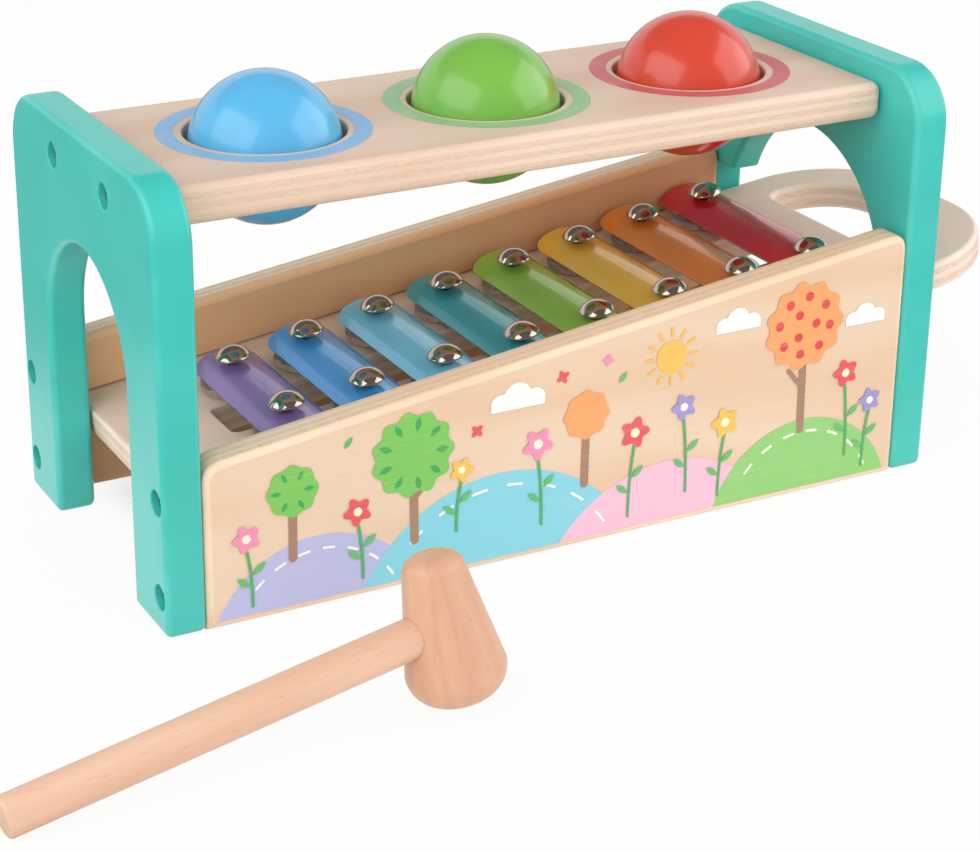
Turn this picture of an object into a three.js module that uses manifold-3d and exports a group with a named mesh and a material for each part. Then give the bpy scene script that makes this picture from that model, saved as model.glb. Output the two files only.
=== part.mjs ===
// Pounding xylophone: a bench whose top board holds three balls over a sloping tray of eight tone bars,
// which slides out to the right, and a loose mallet lying in front of it.
// Millimetres, +Z up, +X towards the tray's handle, -Y towards the front.
import * as THREE from "three";
import { mergeVertices } from "three/addons/utils/BufferGeometryUtils.js";
import Module from "manifold-3d";

const wasm = await Module();
wasm.setup();

// Clearances
const jointGap = 0.05; // glued and screwed faces
const seatGap = 0.3; // pieces that rest on each other
const slideGap = 0.5; // round the tray in its grooves
const boreGap = 0.25; // round a screw's shank or the mallet's dowel
const passGap = 1.2; // over the bars as they go through the right frame
const overcut = 2; // how far a cutter runs past the face it cuts

// Tone bars, from the short high one on the left to the long low one on the right
const barColours = {
  purple: 0x7a6699,
  blue: 0x3f86bf,
  light_blue: 0x5fa6c4,
  teal: 0x3a8a93,
  green: 0x7fa548,
  yellow: 0xd6a33a,
  orange: 0xcc7a3a,
  red: 0xa51e28,
};
const barNames = Object.keys(barColours);
const barWidth = 20.5;
const barThickness = 1.6;
const barRise = 3.6; // of the outer arc over its chord
const barCorner = 5;
const barPitch = 25.35;
const shortestBar = 62;
const longestBar = 91;
const shortestSpan = 40; // between the two screws of the shortest bar
const longestSpan = 61;
const barHoleGap = 0.6; // the bars hang loose on their screws, so that they ring

// Washers under the bars
const washerRadius = 11;
const washerThickness = 2.5;

// Bar screws
const domeRadius = 5.5;
const domeHeight = 3.5;
const domeLip = 0.5;
const domeGap = 1.6; // over a bar's crown, so that the bar rings
const barScrewRadius = 1.7;
const barScrewBite = 7; // into the tray

// Tray, measured along its slope
const incline = THREE.MathUtils.degToRad(7.43);
const trayThickness = 9.3;
const trayEdge = 1.8;
const firstBarInset = 42.7; // from the tray's left end to the first bar
const windowMargin = 3.5; // of the window past the end bars
const windowLeft = 20; // the window's widths, which follow the bars' spans
const windowRight = 26;
const crossbar = 13.5; // between the window and the handle's hole
const handleHole = 27;
const handleRim = 15;
const handleCorner = 36;
const handleHoleCorner = 5;

// Front and rear panels
const panelThickness = 11;
const panelLowHeight = 49.8; // at the left end
const panelEdge = 2.2;
const panelCorner = 6;
const grooveDepth = 3;
const trayDrop = 18.1; // of the tray's top under the panels' top edge
const barSideGap = 1.1; // between the longest bar's ends and the panels

// End frames
const frameThickness = 11.8;
const frameHeight = 129.7;
const frameCorner = 17;
const frameEdge = 2;
const leftLegWidth = 25.5;
const leftArchTop = 96;
const rightLegWidth = 15.5;
const rightArchTop = 99.7;

// Top board
const boardThickness = 11.2;
const boardDepth = 80.8;
const boardDrop = 6.3; // of its top under the frames' top
const boardEdge = 3;
const boardCorner = 4;
const boardEndMargin = 45.2; // from its end to the first ball's centre

// Balls
const ballColours = { blue: 0x5bb8ec, green: 0x7cc04a, red: 0xe3492f };
const ballNames = Object.keys(ballColours);
const ballRadius = 22.5;
const ballPitch = 71.7;
const ballSinks = { blue: 5.2, green: 3.4, red: 4.5 }; // of their centres under the board's top
const ballHoleGap = 1.2;
const rimChamfer = 0.6;

// Grip rings, which the balls spread when they are in place
const gripSection = 1.3; // radius
const gripDrop = 6.5; // under the board's top
const gripFit = 0.15;

// Frame screws
const frameScrewHead = 3.3; // radius
const frameScrewHeadHeight = 2;
const frameScrewRadius = 1.5;
const frameScrewLength = 22;
const counterboreGap = 0.45;
const counterboreDepth = 4;
const boardScrewSpread = 41.6;
const panelScrewLow = 11;
const panelScrewHigh = 39.7;

// Mallet
const malletX = -71.83; // under the head, from the bench's middle
const malletY = -122.98;
const malletTurn = THREE.MathUtils.degToRad(184.75);
const malletRoll = THREE.MathUtils.degToRad(11.14);
const headWideRadius = 13.7;
const headNarrowRadius = 8.57;
const headLength = 40.84;
const headWideEdge = 9;
const headNarrowEdge = 4.6;
const handleHeight = 21.37; // on the head, from its wide end
const handleRadius = 5.5;
const handleLength = 125.74; // from the head's axis
const handleEdge = 1.2;
const handleSocket = 5; // past the head's axis

// Facets round a full circle, and points on an arc
const roundFacets = 32;
const smallFacets = 16;
const boreFacets = 8;
const archSteps = 14;
const bendSteps = 8;
const arcSteps = 4;
const domeSteps = 3;
const edgeSteps = 2;
const leanRounds = 20; // until the mallet's lean holds still

// Sizes that follow
const benchInside = 2 * (ballPitch + boardEndMargin);
const benchLength = benchInside + 2 * frameThickness;
const panelInside = longestBar / 2 + barSideGap; // from the middle to a panel's inner face
const benchHalfDepth = panelInside + panelThickness;
const panelMiddle = panelInside + panelThickness / 2;
const boardTop = frameHeight - boardDrop;
const slope = Math.tan(incline);
const panelTopAt = (x) => panelLowHeight + slope * (x + benchInside / 2);
const trayTopAt = (x) => panelTopAt(x) - trayDrop;
const trayHalfWidth = panelInside + grooveDepth - slideGap;
const trayLeft = (seatGap - benchInside / 2) / Math.cos(incline);
const firstBar = trayLeft + firstBarInset;
const lastBar = firstBar + (barNames.length - 1) * barPitch;
const windowStart = firstBar - barWidth / 2 - windowMargin;
const windowEnd = lastBar + barWidth / 2 + windowMargin;
const handleHoleStart = windowEnd + crossbar;
const handleHoleEnd = handleHoleStart + handleHole;
const trayRight = handleHoleEnd + handleRim;
const barOuterRadius = (barWidth ** 2 / 4 + barRise ** 2) / (2 * barRise);
const barHalfAngle = Math.asin(barWidth / 2 / barOuterRadius);
const barInnerRadius = barOuterRadius - barThickness;
const barHeight = barOuterRadius - barInnerRadius * Math.cos(barHalfAngle);
const washerSeat = seatGap; // heights over the tray's top
const barSeat = washerSeat + washerThickness + seatGap;
const crownHeight = barSeat + barHeight;
const domeSeat = crownHeight + domeGap;

// Solids
const xAxis = new THREE.Vector3(1, 0, 0);
const yAxis = new THREE.Vector3(0, 1, 0);
const zAxis = new THREE.Vector3(0, 0, 1);
// An outline drawn in Y and Z is extruded along X, and one in X and Z along -Y
const outlineYZ = new THREE.Matrix4().makeBasis(yAxis, zAxis, xAxis);
const outlineXZ = new THREE.Matrix4().makeBasis(xAxis, zAxis, yAxis.clone().negate());

function solidOf(geometry) {
  const bare = geometry.clone();
  bare.deleteAttribute("normal");
  bare.deleteAttribute("uv");
  const merged = mergeVertices(bare);
  return new wasm.Manifold(
    new wasm.Mesh({
      numProp: 3,
      vertProperties: Float32Array.from(merged.attributes.position.array),
      triVerts: Uint32Array.from(merged.index.array),
    }),
  );
}

function geometryOf(solid) {
  const { vertProperties, triVerts } = solid.getMesh();
  const geometry = new THREE.BufferGeometry();
  geometry.setAttribute("position", new THREE.BufferAttribute(vertProperties, 3));
  geometry.setIndex(new THREE.BufferAttribute(triVerts, 1));
  geometry.computeVertexNormals();
  return geometry;
}

function cut(geometry, cutters) {
  const cutSolid = cutters.reduce((solid, cutter) => solid.subtract(solidOf(cutter)), solidOf(geometry));
  return geometryOf(cutSolid);
}

// A plate from z = 0 up to its thickness, with its outline's edges rounded
function plate(outline, thickness, edge, curveSegments = arcSteps) {
  return new THREE.ExtrudeGeometry(outline, {
    depth: thickness - 2 * edge,
    bevelEnabled: edge > 0,
    bevelThickness: edge,
    bevelSize: edge,
    bevelOffset: -edge,
    bevelSegments: edgeSteps,
    curveSegments,
  }).translate(0, 0, edge);
}

// A turned piece about the Z axis, from a profile of radius and height points that goes up its outside
function turned(profile, facets) {
  const points = profile.map(([radius, height]) => new THREE.Vector2(radius, height));
  return new THREE.LatheGeometry(points, facets).rotateX(Math.PI / 2);
}

function rod(radius, length, facets) {
  const upright = new THREE.CylinderGeometry(radius, radius, length, facets).rotateX(Math.PI / 2);
  return upright.translate(0, 0, length / 2);
}

// The points of a quarter round on a profile, about its centre
function quarterRound(radius, height, edge, startAngle) {
  return Array.from({ length: arcSteps }, (_, step) => {
    const angle = startAngle + (step / (arcSteps - 1)) * (Math.PI / 2);
    return [radius + edge * Math.cos(angle), height + edge * Math.sin(angle)];
  });
}

function roundedRectangle(width, height, corner) {
  const x = width / 2 - corner;
  const y = height / 2 - corner;
  const outline = new THREE.Shape();
  outline.absarc(x, -y, corner, -Math.PI / 2, 0);
  outline.absarc(x, y, corner, 0, Math.PI / 2);
  outline.absarc(-x, y, corner, Math.PI / 2, Math.PI);
  outline.absarc(-x, -y, corner, Math.PI, 1.5 * Math.PI);
  outline.closePath();
  return outline;
}

// Materials
function finish(color, roughness, metalness = 0) {
  return new THREE.MeshStandardMaterial({ color, roughness, metalness });
}
const tealPaint = finish(0x3cbfae, 0.3);
const boardWood = finish(0xe5c9b2, 0.5);
const panelWood = finish(0xedc9a7, 0.5);
const headWood = finish(0xe3af85, 0.45);
const handleWood = finish(0xf0c4a4, 0.5);
const washerPlastic = finish(0xe9e6e4, 0.4);
const gripRubber = finish(0xd8d4cc, 0.7);
const chrome = finish(0xd9dadb, 0.12, 1);
const steel = finish(0xb9bbbd, 0.3, 1);

function place(parent, name, geometry, material, [x, y, z]) {
  const mesh = new THREE.Mesh(geometry, material);
  mesh.name = name;
  mesh.position.set(x, y, z);
  parent.add(mesh);
}

const bench = new THREE.Group();

// End frames: arched plates, each with a counterbored hole for every screw
const ends = { left: -1, right: 1 };
const boardScrewHeight = boardTop - boardThickness / 2;
const frameScrewPlaces = {
  board_front: [-boardScrewSpread / 2, boardScrewHeight],
  board_rear: [boardScrewSpread / 2, boardScrewHeight],
  front_low: [-panelMiddle, panelScrewLow],
  front_high: [-panelMiddle, panelScrewHigh],
  rear_low: [panelMiddle, panelScrewLow],
  rear_high: [panelMiddle, panelScrewHigh],
};

function frameOutline(drawOpening) {
  const top = frameHeight - frameCorner;
  const side = benchHalfDepth - frameCorner;
  const outline = new THREE.Shape();
  outline.moveTo(benchHalfDepth, 0);
  outline.lineTo(benchHalfDepth, top);
  outline.absarc(side, top, frameCorner, 0, Math.PI / 2);
  outline.absarc(-side, top, frameCorner, Math.PI / 2, Math.PI);
  outline.lineTo(-benchHalfDepth, 0);
  drawOpening(outline);
  outline.closePath();
  return outline;
}

function leftOpening(outline) {
  const gap = benchHalfDepth - leftLegWidth;
  outline.lineTo(-gap, 0);
  outline.absarc(0, leftArchTop - gap, gap, Math.PI, 0, true);
  outline.lineTo(gap, 0);
}

// The right arch steps out into a slot that lets the tray and its bars through
function rightOpening(outline) {
  const gap = benchHalfDepth - rightLegWidth;
  const archCentre = rightArchTop - gap;
  const slotHalf = panelInside + grooveDepth;
  const slotLow = trayTopAt(benchInside / 2) - (trayThickness + slideGap) / Math.cos(incline);
  const slotHigh = trayTopAt(benchLength / 2) + (crownHeight + passGap) / Math.cos(incline);
  const stepAngle = Math.asin((slotHigh - archCentre) / gap);
  outline.lineTo(-gap, 0);
  outline.lineTo(-gap, slotLow);
  outline.lineTo(-slotHalf, slotLow);
  outline.lineTo(-slotHalf, slotHigh);
  outline.absarc(0, archCentre, gap, Math.PI - stepAngle, stepAngle, true);
  outline.lineTo(slotHalf, slotHigh);
  outline.lineTo(slotHalf, slotLow);
  outline.lineTo(gap, slotLow);
  outline.lineTo(gap, 0);
}

const frameScrewHole = [
  [0, -overcut],
  [frameScrewHead + counterboreGap, -overcut],
  [frameScrewHead + counterboreGap, counterboreDepth],
  [frameScrewRadius + boreGap, counterboreDepth],
  [frameScrewRadius + boreGap, frameThickness + overcut],
  [0, frameThickness + overcut],
];

// Turns a piece that points along +Z so that it points into the bench from the end named by its sign
const pointInwards = (geometry, end) => geometry.rotateY((-end * Math.PI) / 2);

function frame(end, drawOpening) {
  const outline = frameOutline(drawOpening);
  const blank = plate(outline, frameThickness, frameEdge, archSteps).applyMatrix4(outlineYZ);
  blank.translate(-frameThickness / 2, 0, 0);
  const holes = Object.values(frameScrewPlaces).map(([y, z]) =>
    pointInwards(turned(frameScrewHole, boreFacets), end).translate((end * frameThickness) / 2, y, z),
  );
  return cut(blank, holes);
}

const frameX = benchInside / 2 + jointGap + frameThickness / 2;
place(bench, "frame_left", frame(ends.left, leftOpening), tealPaint, [-frameX, 0, 0]);
place(bench, "frame_right", frame(ends.right, rightOpening), tealPaint, [frameX, 0, 0]);

// Frame screws: the left frame's are modelled, and the right frame has the same holes for its own
const frameScrewProfile = [
  [0, -frameScrewHeadHeight],
  [frameScrewHead, -frameScrewHeadHeight],
  [frameScrewHead, 0],
  [frameScrewRadius, 0],
  [frameScrewRadius, frameScrewLength],
  [0, frameScrewLength],
];
const frameScrewSeat = counterboreDepth - seatGap;
for (const [name, [y, z]] of Object.entries(frameScrewPlaces)) {
  const screw = pointInwards(turned(frameScrewProfile, boreFacets), ends.left);
  place(bench, `frame_screw_${name}`, screw, steel, [frameScrewSeat - frameX - frameThickness / 2, y, z]);
}

// The pilot holes that the frame screws leave in both ends of a board or panel of the bench's inside length
const pilotDepth = frameScrewSeat + frameScrewLength - frameThickness + seatGap;
function pilotHoles(screwNames, y, z) {
  return screwNames.flatMap((name) =>
    Object.values(ends).map((end) =>
      pointInwards(rod(frameScrewRadius + boreGap, pilotDepth + overcut, boreFacets), end).translate(
        end * (benchInside / 2 + overcut),
        frameScrewPlaces[name][0] - y,
        frameScrewPlaces[name][1] - z,
      ),
    ),
  );
}

// Top board: rounded all round, with three holes with chamfered rims, each with a groove for its grip ring
const ballHoleRadius = ballRadius + ballHoleGap;
const gripRadius = ballRadius + gripFit + gripSection;
const gripGroove = gripSection + seatGap;
const ballHoleProfile = [
  [0, -boardThickness - overcut],
  [ballHoleRadius, -boardThickness - overcut],
  [ballHoleRadius, -gripDrop - gripGroove],
  [gripRadius + gripGroove, -gripDrop - gripGroove],
  [gripRadius + gripGroove, gripGroove - gripDrop],
  [ballHoleRadius, gripGroove - gripDrop],
  [ballHoleRadius, -rimChamfer],
  [ballHoleRadius + rimChamfer, 0],
  [ballHoleRadius + rimChamfer, overcut],
  [0, overcut],
];
const ballX = ballNames.map((_, i) => (i - (ballNames.length - 1) / 2) * ballPitch);
const boardOutline = roundedRectangle(benchInside, boardDepth, boardCorner);
const boardBlank = plate(boardOutline, boardThickness, boardEdge).translate(0, 0, -boardThickness / 2);
const boardCentre = boardTop - boardThickness / 2;
const ballHoles = ballX.map((x) => turned(ballHoleProfile, roundFacets).translate(x, 0, boardThickness / 2));
const boardPilots = pilotHoles(["board_front", "board_rear"], 0, boardCentre);
place(bench, "top_board", cut(boardBlank, [...ballHoles, ...boardPilots]), boardWood, [0, 0, boardCentre]);

// Balls and the rings that grip them
const gripProfile = Array.from({ length: boreFacets + 1 }, (_, step) => {
  const angle = (step / boreFacets) * 2 * Math.PI;
  return [gripRadius + gripSection * Math.cos(angle), gripSection * Math.sin(angle)];
});
ballNames.forEach((name, i) => {
  const ring = turned(gripProfile, roundFacets);
  const ball = new THREE.SphereGeometry(ballRadius, roundFacets, roundFacets / 2).rotateX(Math.PI / 2);
  const ballPaint = finish(ballColours[name], 0.2);
  place(bench, `grip_ring_${name}`, ring, gripRubber, [ballX[i], 0, boardTop - gripDrop]);
  place(bench, `ball_${name}`, ball, ballPaint, [ballX[i], 0, boardTop - ballSinks[name]]);
});

// Front and rear panels: a sloping top edge, and a groove for the tray along the inner face
function panelOutline() {
  const end = benchInside / 2;
  const rise = slope * panelCorner;
  const outline = new THREE.Shape();
  outline.moveTo(-end, 0);
  outline.lineTo(end, 0);
  outline.lineTo(end, panelTopAt(end) - panelCorner);
  outline.quadraticCurveTo(end, panelTopAt(end), end - panelCorner, panelTopAt(end) - rise);
  outline.lineTo(-end + panelCorner, panelTopAt(-end) + rise);
  outline.quadraticCurveTo(-end, panelTopAt(-end), -end, panelTopAt(-end) - panelCorner);
  outline.closePath();
  return outline;
}

function panel(side, screwNames) {
  const blank = plate(panelOutline(), panelThickness, panelEdge).applyMatrix4(outlineXZ);
  blank.translate(0, panelThickness / 2, 0);
  const grooveHeight = trayThickness + 2 * slideGap;
  const groove = new THREE.BoxGeometry(2 * benchLength, 2 * grooveDepth, grooveHeight)
    .translate(0, 0, slideGap - grooveHeight / 2)
    .rotateY(-incline)
    .translate(0, (-side * panelThickness) / 2, trayTopAt(0));
  return cut(blank, [groove, ...pilotHoles(screwNames, side * panelMiddle, 0)]);
}

place(bench, "front_panel", panel(-1, ["front_low", "front_high"]), panelWood, [0, -panelMiddle, 0]);
place(bench, "rear_panel", panel(1, ["rear_low", "rear_high"]), panelWood, [0, panelMiddle, 0]);

// Tray: along its slope, with its top at local z = 0
const slopeGroup = new THREE.Group();
slopeGroup.position.z = trayTopAt(0);
slopeGroup.rotation.y = -incline;
bench.add(slopeGroup);

const spread = (low, high, i) => low + ((high - low) * i) / (barNames.length - 1);
const bars = barNames.map((name, i) => {
  const halfSpan = spread(shortestSpan, longestSpan, i) / 2;
  return {
    name,
    x: firstBar + i * barPitch,
    length: spread(shortestBar, longestBar, i),
    screws: { rear: halfSpan, front: -halfSpan },
  };
});

function trayOutline() {
  const cornerX = trayRight - handleCorner;
  const cornerY = trayHalfWidth - handleCorner;
  const outline = new THREE.Shape();
  outline.moveTo(trayLeft, trayHalfWidth);
  outline.lineTo(trayLeft, -trayHalfWidth);
  outline.absarc(cornerX, -cornerY, handleCorner, -Math.PI / 2, 0);
  outline.absarc(cornerX, cornerY, handleCorner, 0, Math.PI / 2);
  outline.closePath();
  const window = new THREE.Path();
  window.moveTo(windowStart, -windowLeft / 2);
  window.lineTo(windowStart, windowLeft / 2);
  window.lineTo(windowEnd, windowRight / 2);
  window.lineTo(windowEnd, -windowRight / 2);
  window.closePath();
  const holeHalf = trayHalfWidth - handleRim;
  const farCorner = handleCorner - handleRim;
  const hole = new THREE.Path();
  const nearX = handleHoleStart + handleHoleCorner;
  const nearY = holeHalf - handleHoleCorner;
  const farX = handleHoleEnd - farCorner;
  const farY = holeHalf - farCorner;
  hole.absarc(nearX, -nearY, handleHoleCorner, -Math.PI / 2, -Math.PI, true);
  hole.absarc(nearX, nearY, handleHoleCorner, Math.PI, Math.PI / 2, true);
  hole.absarc(farX, farY, farCorner, Math.PI / 2, 0, true);
  hole.absarc(farX, -farY, farCorner, 0, -Math.PI / 2, true);
  hole.closePath();
  outline.holes.push(window, hole);
  return outline;
}

const trayBlank = plate(trayOutline(), trayThickness, trayEdge, bendSteps).translate(0, 0, -trayThickness);
const trayHoleRadius = barScrewRadius + boreGap;
const trayHoles = bars.flatMap(({ x, screws }) =>
  Object.values(screws).map((y) =>
    rod(trayHoleRadius, trayThickness + 2 * overcut, boreFacets).translate(x, y, -trayThickness - overcut),
  ),
);
place(slopeGroup, "tray", cut(trayBlank, trayHoles), panelWood, [0, 0, 0]);

// Tone bars: arched strips with rounded corners, loose on two screws with a washer under each
function barGeometry(length, screwPlaces) {
  const arch = new THREE.Shape();
  const centre = -barInnerRadius * Math.cos(barHalfAngle);
  const upright = Math.PI / 2;
  arch.absarc(0, centre, barOuterRadius, upright + barHalfAngle, upright - barHalfAngle, true);
  arch.absarc(0, centre, barInnerRadius, upright - barHalfAngle, upright + barHalfAngle, false);
  arch.closePath();
  const strip = plate(arch, length, 0, bendSteps).applyMatrix4(outlineXZ).translate(0, length / 2, 0);
  const plan = plate(roundedRectangle(barWidth + jointGap, length, barCorner), barHeight + 2 * overcut, 0);
  const shaped = solidOf(strip).intersect(solidOf(plan.translate(0, 0, -overcut)));
  const holes = screwPlaces.map((y) =>
    rod(barScrewRadius + barHoleGap, barHeight + 2 * overcut, boreFacets).translate(0, y, -overcut),
  );
  return cut(geometryOf(shaped), holes);
}

const washerProfile = [
  [barScrewRadius + boreGap, 0],
  [washerRadius, 0],
  [washerRadius, washerThickness],
  [barScrewRadius + boreGap, washerThickness],
  [barScrewRadius + boreGap, 0],
];
const domeSphere = (domeRadius ** 2 + (domeHeight - domeLip) ** 2) / (2 * (domeHeight - domeLip));
const domeAngle = Math.asin(domeRadius / domeSphere);
const barScrewProfile = [
  [0, -domeSeat - barScrewBite],
  [barScrewRadius, -domeSeat - barScrewBite],
  [barScrewRadius, 0],
  [domeRadius, 0],
  ...Array.from({ length: domeSteps + 1 }, (_, step) => {
    const angle = domeAngle * (1 - step / domeSteps);
    return [domeSphere * Math.sin(angle), domeHeight - domeSphere * (1 - Math.cos(angle))];
  }),
];
for (const { name, x, length, screws } of bars) {
  const bar = barGeometry(length, Object.values(screws));
  place(slopeGroup, `bar_${name}`, bar, finish(barColours[name], 0.25, 0.3), [x, 0, barSeat]);
  for (const [row, y] of Object.entries(screws)) {
    const washer = turned(washerProfile, smallFacets);
    const screw = turned(barScrewProfile, smallFacets);
    place(slopeGroup, `washer_${name}_${row}`, washer, washerPlastic, [x, y, washerSeat]);
    place(slopeGroup, `bar_screw_${name}_${row}`, screw, chrome, [x, y, domeSeat]);
  }
}

// Mallet: it lies rolled a little on the rounded rim of its head's wide end and on the end of its
// handle, which sets its lean
const headFlat = headWideRadius - headWideEdge; // radius of the flat on its wide end
let lean = 0;
let headRise = 0; // of the middle of its wide end over the floor
for (let round = 0; round < leanRounds; round++) {
  const upright = Math.cos(lean) * Math.cos(malletRoll);
  const sideways = Math.cos(lean) * Math.sin(malletRoll);
  headRise = headFlat * Math.hypot(Math.sin(lean), sideways) + headWideEdge * (1 - upright);
  const handleUnder = (handleRadius - handleEdge) * Math.cos(lean) + handleEdge;
  lean = Math.asin((headRise + handleHeight * upright - handleUnder) / (handleLength - handleEdge));
}
const malletFloor = new THREE.Group();
malletFloor.position.set(malletX, malletY, 0);
malletFloor.rotation.z = malletTurn;
const mallet = new THREE.Group();
mallet.position.z = headRise;
mallet.rotation.set(malletRoll, lean, 0, "YXZ");
malletFloor.add(mallet);

const headProfile = [
  [0, 0],
  ...quarterRound(headFlat, headWideEdge, headWideEdge, -Math.PI / 2),
  ...quarterRound(headNarrowRadius - headNarrowEdge, headLength - headNarrowEdge, headNarrowEdge, 0),
  [0, headLength],
];
const handleStart = boreGap - handleSocket;
const handleProfile = [
  [0, handleStart],
  [handleRadius, handleStart],
  ...quarterRound(handleRadius - handleEdge, handleLength - handleEdge, handleEdge, 0),
  [0, handleLength],
];
const alongHandle = (geometry) => geometry.rotateY(Math.PI / 2);
const socket = alongHandle(rod(handleRadius + boreGap, handleSocket + headWideRadius, roundFacets));
socket.translate(-handleSocket, 0, handleHeight);
const head = cut(turned(headProfile, roundFacets), [socket]);
place(mallet, "mallet_head", head, headWood, [0, 0, 0]);
const handle = alongHandle(turned(handleProfile, roundFacets));
place(mallet, "mallet_handle", handle, handleWood, [0, 0, handleHeight]);

// The whole set, with its origin on the floor in the middle of its box
const toy = new THREE.Group();
toy.add(bench, malletFloor);
const box = new THREE.Box3().setFromObject(toy, true);
const middle = box.getCenter(new THREE.Vector3());
toy.position.set(-middle.x, -middle.y, -box.min.z);
const part = new THREE.Group();
part.add(toy);

export default part;
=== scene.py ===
import math

import bmesh
import bpy
from mathutils import Matrix, Vector
from mathutils.geometry import delaunay_2d_cdt


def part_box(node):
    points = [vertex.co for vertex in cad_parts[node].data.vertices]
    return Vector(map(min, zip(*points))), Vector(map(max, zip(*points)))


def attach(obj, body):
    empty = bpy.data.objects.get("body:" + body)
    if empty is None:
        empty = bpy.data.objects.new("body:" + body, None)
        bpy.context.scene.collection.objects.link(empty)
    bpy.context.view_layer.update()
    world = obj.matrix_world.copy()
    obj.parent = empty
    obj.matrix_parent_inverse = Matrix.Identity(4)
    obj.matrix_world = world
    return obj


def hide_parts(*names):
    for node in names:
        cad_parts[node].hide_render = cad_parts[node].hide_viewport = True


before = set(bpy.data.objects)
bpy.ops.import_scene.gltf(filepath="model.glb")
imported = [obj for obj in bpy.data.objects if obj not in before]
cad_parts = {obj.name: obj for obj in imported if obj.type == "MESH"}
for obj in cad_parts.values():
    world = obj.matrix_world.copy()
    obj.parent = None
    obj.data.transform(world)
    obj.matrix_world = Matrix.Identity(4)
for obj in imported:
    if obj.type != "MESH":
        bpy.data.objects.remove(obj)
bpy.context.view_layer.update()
scene = bpy.context.scene
scene.view_settings.view_transform = "Standard"

# Bench: every piece is drawn in millimetres from the middle of the two end frames at floor level,
# and set_down takes it from there to the frame's metres.
left_low, left_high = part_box("frame_left")
right_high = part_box("frame_right")[1]
bench_middle = Vector(((left_low.x + right_high.x) / 2, (left_low.y + left_high.y) / 2, 0))
bench_inside = 233.8
half_depth = 57.6
set_down = Matrix.Translation(bench_middle) @ Matrix.Scale(0.001, 4)

# Camera: over the front left corner of the bench, turned down on it, as the photograph was taken.
# Its small shift only brings the bench and the mallet to the middle of the picture.
eye_place = set_down @ Vector((-335.96, -615.89, 325.82))
eye_yaw, eye_pitch, eye_roll = 0.4809, -0.37532, 0.00485
focal_pixels, picture_pixels, film_width = 2435.6, 980, 36
camera = bpy.data.objects.new("camera", bpy.data.cameras.new("camera"))
camera.matrix_world = (
    Matrix.Translation(eye_place)
    @ Matrix.Rotation(-eye_yaw, 4, "Z")
    @ Matrix.Rotation(math.pi / 2 + eye_pitch, 4, "X")
    @ Matrix.Rotation(eye_roll, 4, "Z")
)
camera.data.sensor_width = film_width
camera.data.lens = focal_pixels * film_width / picture_pixels
camera.data.shift_x = 0.05
camera.data.shift_y = -0.1
scene.collection.objects.link(camera)
scene.camera = camera


# End frames: two arched plates of plywood, routed round their edges and sprayed a glossy teal.
# Six counterbored holes in each take the screws that hold the top board and the panels, and
# the right one steps out into a slot that lets the tray through.
frame_thickness = 11.8
frame_height = 129.7
frame_corner, foot_corner = 17, 2.5
frame_edge = 2
left_leg, left_arch_top = 25.5, 96
right_leg, right_arch_top = 15.5, 99.7
slot_half, slot_low, slot_high = 49.6, 52.31, 72.95
screw_places = [(-20.8, 117.8), (20.8, 117.8), (-52.1, 11), (-52.1, 39.7), (52.1, 11), (52.1, 39.7)]
counterbore_radius, counterbore_depth, counterbore_lip = 3.75, 4, 0.5
cut_past = 1


def arc(x, y, radius, start, end, steps):
    """Points on an arc between two angles in degrees."""
    turns = [math.radians(start + (end - start) * i / steps) for i in range(steps + 1)]
    return [(x + radius * math.cos(t), y + radius * math.sin(t)) for t in turns]


def plate(rings, thickness, steps=6):
    """A closed plate from z = 0 up to its thickness. A ring is its points, with the plate on their
    left, and the radius of its rounded edge. The attribute rim is 1 on the roundings."""
    shape = bmesh.new()
    rim = shape.verts.layers.float.new("rim")
    flats = ([], [])
    for points, edge in rings:
        around = [Vector(p) for p in points]
        inward = []
        for before, here, after in zip(around[-1:] + around[:-1], around, around[1:] + around[:1]):
            first = (here - before).normalized().orthogonal()
            second = (after - here).normalized().orthogonal()
            inward.append((first + second) / (1 + first.dot(second)))
        turns = [math.pi / 2 * i / steps for i in range(steps + 1)] if edge else [math.pi / 2]
        bend = [(edge * (1 - math.sin(t)), edge * (1 - math.cos(t)), math.sin(2 * t)) for t in turns]
        bend += [(inset, thickness - z, wear) for inset, z, wear in reversed(bend)]
        levels = []
        for inset, z, wear in bend:
            level = [shape.verts.new((*(p + d * inset), z)) for p, d in zip(around, inward)]
            for vert in level:
                vert[rim] = wear
            levels.append(level)
        for low, high in zip(levels, levels[1:]):
            for i in range(len(around)):
                shape.faces.new((low[i - 1], low[i], high[i], high[i - 1]))
        flats[0].append(levels[0])
        flats[1].append(levels[-1])
    for flat, step in zip(flats, (-1, 1)):
        verts = [v for ring in flat for v in ring]
        edges, start = [], 0
        for ring in flat:
            edges += [(start + i, start + (i + 1) % len(ring)) for i in range(len(ring))]
            start += len(ring)
        filled = delaunay_2d_cdt([v.co.xy for v in verts], edges, [], 1, 1e-5)
        for face in filled[2]:
            corners = [verts[filled[3][i][0]] for i in face]
            x, y, _ = sum((v.co for v in corners), Vector()) / 3
            crossed = 0
            for i, j in edges:
                a, b = verts[i].co, verts[j].co
                if (a.y > y) != (b.y > y):
                    crossed += a.x + (y - a.y) * (b.x - a.x) / (b.y - a.y) > x
            if crossed % 2:
                shape.faces.new(corners[::step])
    return shape


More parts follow.
